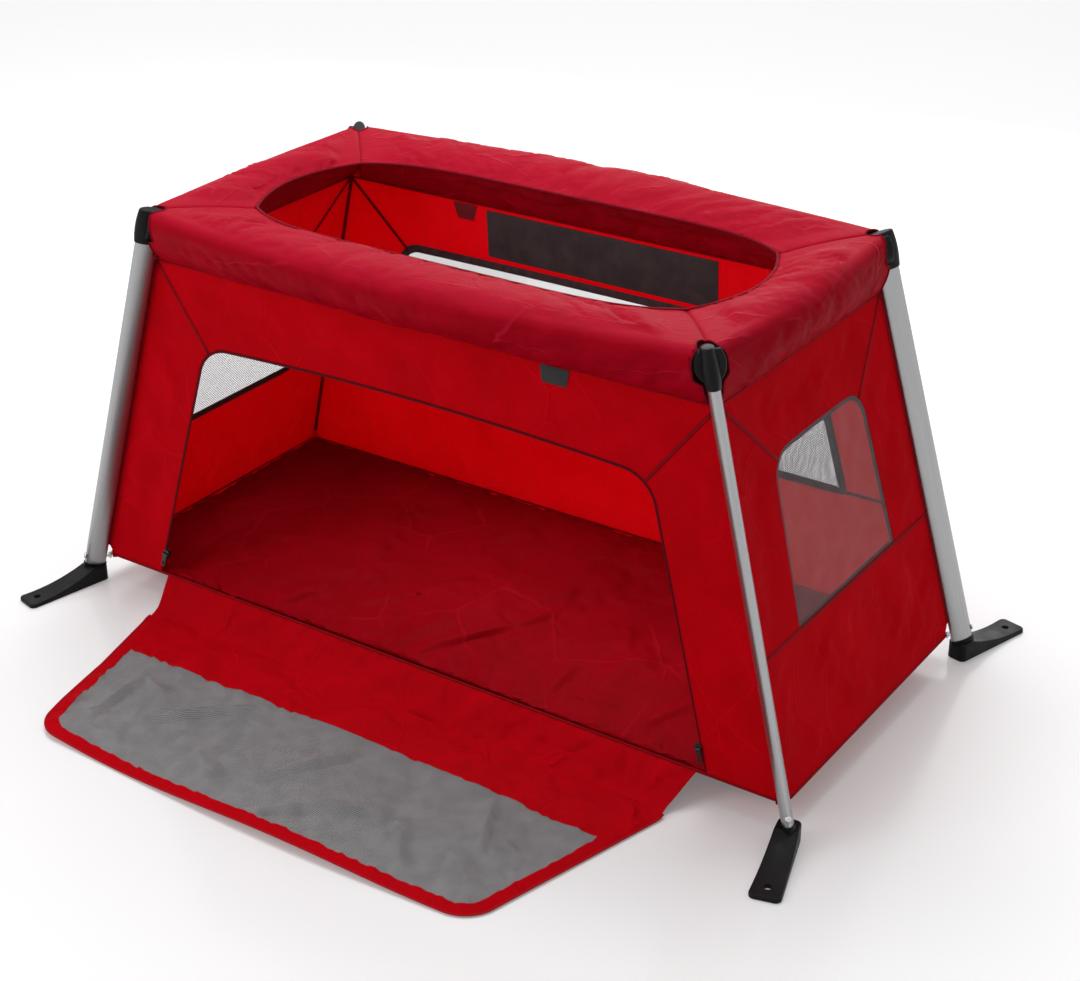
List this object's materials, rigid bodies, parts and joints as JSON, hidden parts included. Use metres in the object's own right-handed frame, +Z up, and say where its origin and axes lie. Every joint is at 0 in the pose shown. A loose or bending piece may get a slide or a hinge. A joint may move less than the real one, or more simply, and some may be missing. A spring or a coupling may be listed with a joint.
{
  "type": "playpen",
  "caption": "Folding playpen: splayed aluminium legs and a bowed padded rim hold a red cloth tub with net windows, a mattress and a zip-open side folded down",
  "frame": {"origin": "on the floor, at the centre of the four peg holes in the feet", "axes": "+X along the length to the right as seen from the zip-open side, +Y to the back, +Z up"},
  "size_m": [1.2336, 0.9669, 0.5929],
  "materials": {
    "rim_cloth": "crimson woven cloth with a slight sheen",
    "red_cloth": "matt red woven cloth",
    "mattress_cloth": "dark red woven cloth",
    "grey_net": "fine grey net",
    "dark_binding": "dark grey binding tape",
    "patch_cloth": "plain dark sewn-on patch",
    "zip_tape": "red moulded zip teeth",
    "black_moulding": "satin black moulding",
    "leg_aluminium": "satin anodised",
    "rail_aluminium": "plain drawn tube",
    "steel": "bright plated",
    "foam": "open-cell foam"
  },
  "bodies": {
    "frame_and_tub": {"hub_front_left": "black_moulding", "hub_front_right": "black_moulding", "hub_rear_left": "black_moulding", "hub_rear_right": "black_moulding", "corner_rings": "steel", "rail_rear_right": "rail_aluminium", "rail_rear_left": "rail_aluminium", "rail_front_right": "rail_aluminium", "rail_front_left": "rail_aluminium", "rail_right": "rail_aluminium", "rail_left": "rail_aluminium", "rail_joiner_rear": "rail_aluminium", "rail_joiner_front": "rail_aluminium", "rim_rear": "rim_cloth", "rim_front": "rim_cloth", "rim_right": "rim_cloth", "rim_left": "rim_cloth", "wall_front_header": "red_cloth", "wall_front_uprights": "red_cloth", "wall_rear_header": "red_cloth", "wall_rear_uprights": "red_cloth", "wall_rear_lower": "red_cloth", "window_net_rear": "grey_net", "wall_left_header": "red_cloth", "wall_left_uprights": "red_cloth", "wall_left_lower": "red_cloth", "window_net_left": "grey_net", "wall_right_header": "red_cloth", "wall_right_uprights": "red_cloth", "wall_right_lower": "red_cloth", "window_net_right": "grey_net", "window_bindings": "dark_binding", "zip_track": "zip_tape", "floor_sheet": "red_cloth", "mattress_cover": "mattress_cloth", "mattress_foam": "foam", "front_tag": "dark_binding", "inner_tab": "dark_binding", "inner_patch": "patch_cloth"},
    "leg_front_left": {"leg_tube_front_left": "leg_aluminium", "foot_front_left": "black_moulding", "leg_hook_front_left": "steel"},
    "leg_front_right": {"leg_tube_front_right": "leg_aluminium", "foot_front_right": "black_moulding", "leg_hook_front_right": "steel"},
    "leg_rear_left": {"leg_tube_rear_left": "leg_aluminium", "foot_rear_left": "black_moulding", "leg_hook_rear_left": "steel"},
    "leg_rear_right": {"leg_tube_rear_right": "leg_aluminium", "foot_rear_right": "black_moulding", "leg_hook_rear_right": "steel"},
    "door_strip": {"door_drop_strip": "red_cloth"},
    "door_leaf": {"door_panel": "red_cloth", "door_net": "grey_net", "door_zip_track": "zip_tape"},
    "zip_slider_right": {"zip_slider_right": "steel"},
    "zip_pull_right": {"zip_pull_right": "steel"},
    "zip_slider_left": {"zip_slider_left": "steel"},
    "zip_pull_left": {"zip_pull_left": "steel"}
  },
  "joints": [
    {"name": "leg_front_left_pull_out", "type": "slide", "parent": "frame_and_tub", "child": "leg_front_left", "axis": [-0.2577, -0.0553, -0.9647], "range_m": [0, 0.07]},
    {"name": "leg_front_right_pull_out", "type": "slide", "parent": "frame_and_tub", "child": "leg_front_right", "axis": [0.2577, -0.0553, -0.9647], "range_m": [0, 0.07]},
    {"name": "leg_rear_left_pull_out", "type": "slide", "parent": "frame_and_tub", "child": "leg_rear_left", "axis": [-0.2577, 0.0553, -0.9647], "range_m": [0, 0.07]},
    {"name": "leg_rear_right_pull_out", "type": "slide", "parent": "frame_and_tub", "child": "leg_rear_right", "axis": [0.2577, 0.0553, -0.9647], "range_m": [0, 0.07]},
    {"name": "door_fold", "type": "hinge", "parent": "frame_and_tub", "child": "door_strip", "pos_m": [0, -0.236, 0.04], "axis": [-1, 0, 0], "range_deg": [0, 131.91]},
    {"name": "door_crease", "type": "hinge", "parent": "door_strip", "child": "door_leaf", "pos_m": [0, -0.28444, 0.0013], "axis": [1, 0, 0], "range_deg": [0, 38.63]},
    {"name": "zip_right_run", "type": "slide", "parent": "frame_and_tub", "child": "zip_slider_right", "axis": [-0.2636, 0.0553, 0.963], "range_m": [0, 0.28]},
    {"name": "zip_pull_right_swing", "type": "hinge", "parent": "zip_slider_right", "child": "zip_pull_right", "pos_m": [0.43754, -0.23851, 0.073], "axis": [-0.9646, -0.0151, -0.2632], "range_deg": [0, 150]},
    {"name": "zip_left_run", "type": "slide", "parent": "frame_and_tub", "child": "zip_slider_left", "axis": [0.2636, 0.0553, 0.963], "range_m": [0, 0.28]},
    {"name": "zip_pull_left_swing", "type": "hinge", "parent": "zip_slider_left", "child": "zip_pull_left", "pos_m": [-0.43754, -0.23851, 0.073], "axis": [-0.9646, 0.0151, 0.2632], "range_deg": [0, 150]}
  ],
  "couplings": [
    {"joint": "door_crease", "follows": "door_fold", "ratio": 0.2928}
  ]
}
